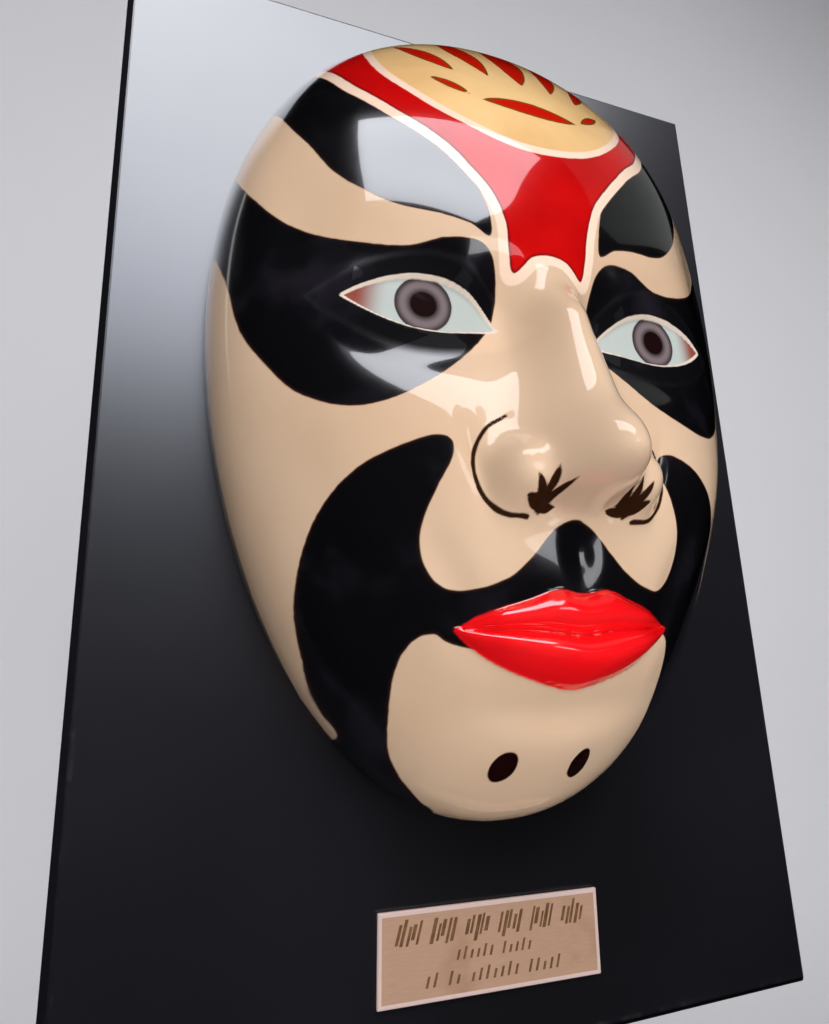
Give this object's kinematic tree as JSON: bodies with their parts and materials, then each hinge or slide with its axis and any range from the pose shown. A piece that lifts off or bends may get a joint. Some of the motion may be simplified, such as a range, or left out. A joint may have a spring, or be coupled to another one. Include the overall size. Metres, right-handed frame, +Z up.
{
  "type": "opera mask wall plaque",
  "caption": "Upright wall plaque: a hollow opera mask in black, red and gold face paint on a bevelled black board, with a small name plate below it.",
  "frame": {"origin": "centre of the board's flat back face", "axes": "+Z up along the board's height, +Y out of the back face into the wall, -Y the way the mask looks, +X to a viewer's right"},
  "size_m": [0.2, 0.09, 0.3],
  "materials": {
    "board_lacquer": "smooth black lacquer, satin gloss",
    "mask_paint": "moulded resin, painted in black, red, gold and beige under clear gloss lacquer",
    "plate_metal": "thin satin metal plate with rows of shallow dark strokes"
  },
  "bodies": {
    "root": {"board": "board_lacquer", "mask": "mask_paint", "name_plate": "plate_metal"}
  },
  "joints": []
}
